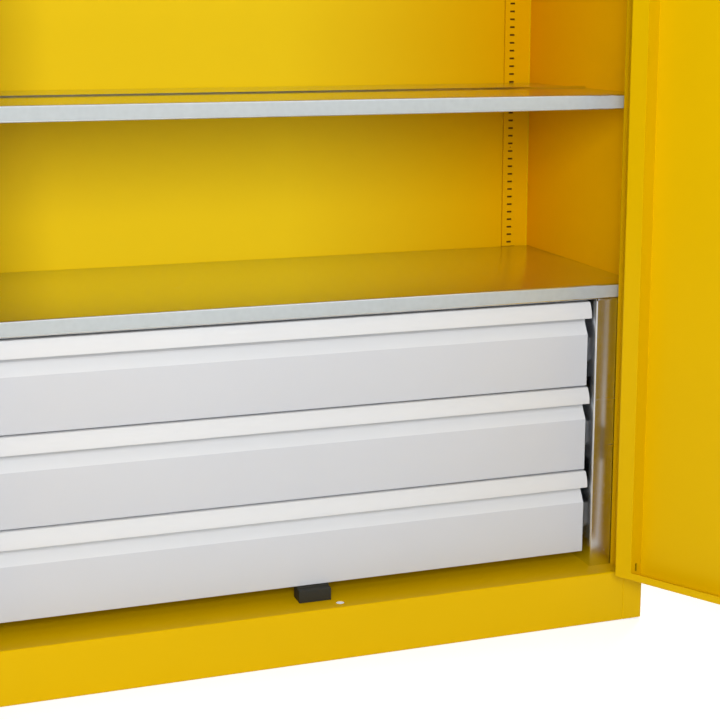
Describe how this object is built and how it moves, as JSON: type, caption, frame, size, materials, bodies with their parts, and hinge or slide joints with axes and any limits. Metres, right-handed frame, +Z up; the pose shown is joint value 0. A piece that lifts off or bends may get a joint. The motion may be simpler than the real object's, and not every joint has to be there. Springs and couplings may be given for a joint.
{
  "type": "heavy-duty cabinet",
  "caption": "Tall steel cabinet with two hinged doors, adjustable galvanised shelves above and full-width drawers below, on a plinth.",
  "frame": {"origin": "under the middle of the whole object's box, on the plane that the feet stand on, with the doors open as at rest", "axes": "+Z up, +Y from the front into the cabinet, +X to the right as seen from the front"},
  "size_m": [1.6808, 1.0104, 1.95],
  "materials": {
    "yellow_paint": "satin powder coat",
    "grey_paint": "satin powder coat",
    "galvanised_sheet": "bright galvanised",
    "fitting_steel": "zinc plated",
    "black_plastic": "matt"
  },
  "bodies": {
    "carcass": {"side_wall_left": "yellow_paint", "side_wall_right": "yellow_paint", "back_panel": "yellow_paint", "top_panel": "yellow_paint", "base_pan": "yellow_paint", "foot_bar_left": "fitting_steel", "foot_bar_right": "fitting_steel", "back_strip_left": "yellow_paint", "back_strip_right": "yellow_paint", "front_strip_left": "yellow_paint", "front_strip_right": "yellow_paint", "cover_shelf": "galvanised_sheet", "shelf_1": "galvanised_sheet", "shelf_2": "galvanised_sheet", "shelf_3": "galvanised_sheet", "shelf_bar_1_left": "fitting_steel", "shelf_bar_1_right": "fitting_steel", "shelf_bar_2_left": "fitting_steel", "shelf_bar_2_right": "fitting_steel", "shelf_bar_3_left": "fitting_steel", "shelf_bar_3_right": "fitting_steel", "drawer_housing_left": "galvanised_sheet", "drawer_housing_right": "galvanised_sheet", "runner_fixed_1_left": "fitting_steel", "runner_fixed_1_right": "fitting_steel", "runner_fixed_2_left": "fitting_steel", "runner_fixed_2_right": "fitting_steel", "runner_fixed_3_left": "fitting_steel", "runner_fixed_3_right": "fitting_steel", "hinge_frame_left_1": "fitting_steel", "hinge_frame_left_2": "fitting_steel", "hinge_frame_right_1": "fitting_steel", "hinge_frame_right_2": "fitting_steel", "stop_block": "black_plastic"},
    "left_door": {"door_left": "yellow_paint", "hinge_door_left_1": "fitting_steel", "hinge_door_left_2": "fitting_steel"},
    "right_door": {"door_right": "yellow_paint", "hinge_door_right_1": "fitting_steel", "hinge_door_right_2": "fitting_steel", "lock_case": "fitting_steel", "lock_plate": "black_plastic"},
    "lever": {"lock_lever": "black_plastic"},
    "lower_rod": {"rod_lower": "fitting_steel"},
    "upper_rod": {"rod_upper": "fitting_steel"},
    "drawer_1": {"drawer_box_1": "grey_paint", "drawer_front_1": "grey_paint", "drawer_handle_1": "grey_paint"},
    "drawer_2": {"drawer_box_2": "grey_paint", "drawer_front_2": "grey_paint", "drawer_handle_2": "grey_paint"},
    "drawer_3": {"drawer_box_3": "grey_paint", "drawer_front_3": "grey_paint", "drawer_handle_3": "grey_paint"},
    "runners_1": {"runner_middle_1_left": "fitting_steel", "runner_middle_1_right": "fitting_steel"},
    "runners_2": {"runner_middle_2_left": "fitting_steel", "runner_middle_2_right": "fitting_steel"},
    "runners_3": {"runner_middle_3_left": "fitting_steel", "runner_middle_3_right": "fitting_steel"}
  },
  "joints": [
    {"name": "left_door_swing", "type": "hinge", "parent": "carcass", "child": "left_door", "pos_m": [-0.5635, 0.00071, 1], "axis": [0, 0, -1], "range_deg": [-120, 0]},
    {"name": "right_door_swing", "type": "hinge", "parent": "carcass", "child": "right_door", "pos_m": [0.5635, 0.00071, 1], "axis": [0, 0, 1], "range_deg": [-120, 0]},
    {"name": "lever_turn", "type": "hinge", "parent": "right_door", "child": "lever", "pos_m": [0.817, -0.44738, 1], "axis": [-0.866, -0.5, 0], "range_deg": [0, 90]},
    {"name": "lower_rod_slide", "type": "slide", "parent": "right_door", "child": "lower_rod", "axis": [0, 0, -1], "range_m": [0, 0.018]},
    {"name": "upper_rod_slide", "type": "slide", "parent": "right_door", "child": "upper_rod", "axis": [0, 0, 1], "range_m": [0, 0.018]},
    {"name": "drawer_1_slide", "type": "slide", "parent": "carcass", "child": "drawer_1", "axis": [0, -1, 0], "range_m": [0, 0.38]},
    {"name": "drawer_2_slide", "type": "slide", "parent": "carcass", "child": "drawer_2", "axis": [0, -1, 0], "range_m": [0, 0.38]},
    {"name": "drawer_3_slide", "type": "slide", "parent": "carcass", "child": "drawer_3", "axis": [0, -1, 0], "range_m": [0, 0.38]},
    {"name": "runners_1_slide", "type": "slide", "parent": "carcass", "child": "runners_1", "axis": [0, -1, 0], "range_m": [0, 0.19]},
    {"name": "runners_2_slide", "type": "slide", "parent": "carcass", "child": "runners_2", "axis": [0, -1, 0], "range_m": [0, 0.19]},
    {"name": "runners_3_slide", "type": "slide", "parent": "carcass", "child": "runners_3", "axis": [0, -1, 0], "range_m": [0, 0.19]}
  ],
  "couplings": [
    {"joint": "lever_turn", "follows": "lower_rod_slide", "rad_per_m": 87.266},
    {"joint": "upper_rod_slide", "follows": "lower_rod_slide", "ratio": 1},
    {"joint": "runners_1_slide", "follows": "drawer_1_slide", "ratio": 0.5},
    {"joint": "runners_2_slide", "follows": "drawer_2_slide", "ratio": 0.5},
    {"joint": "runners_3_slide", "follows": "drawer_3_slide", "ratio": 0.5}
  ]
}
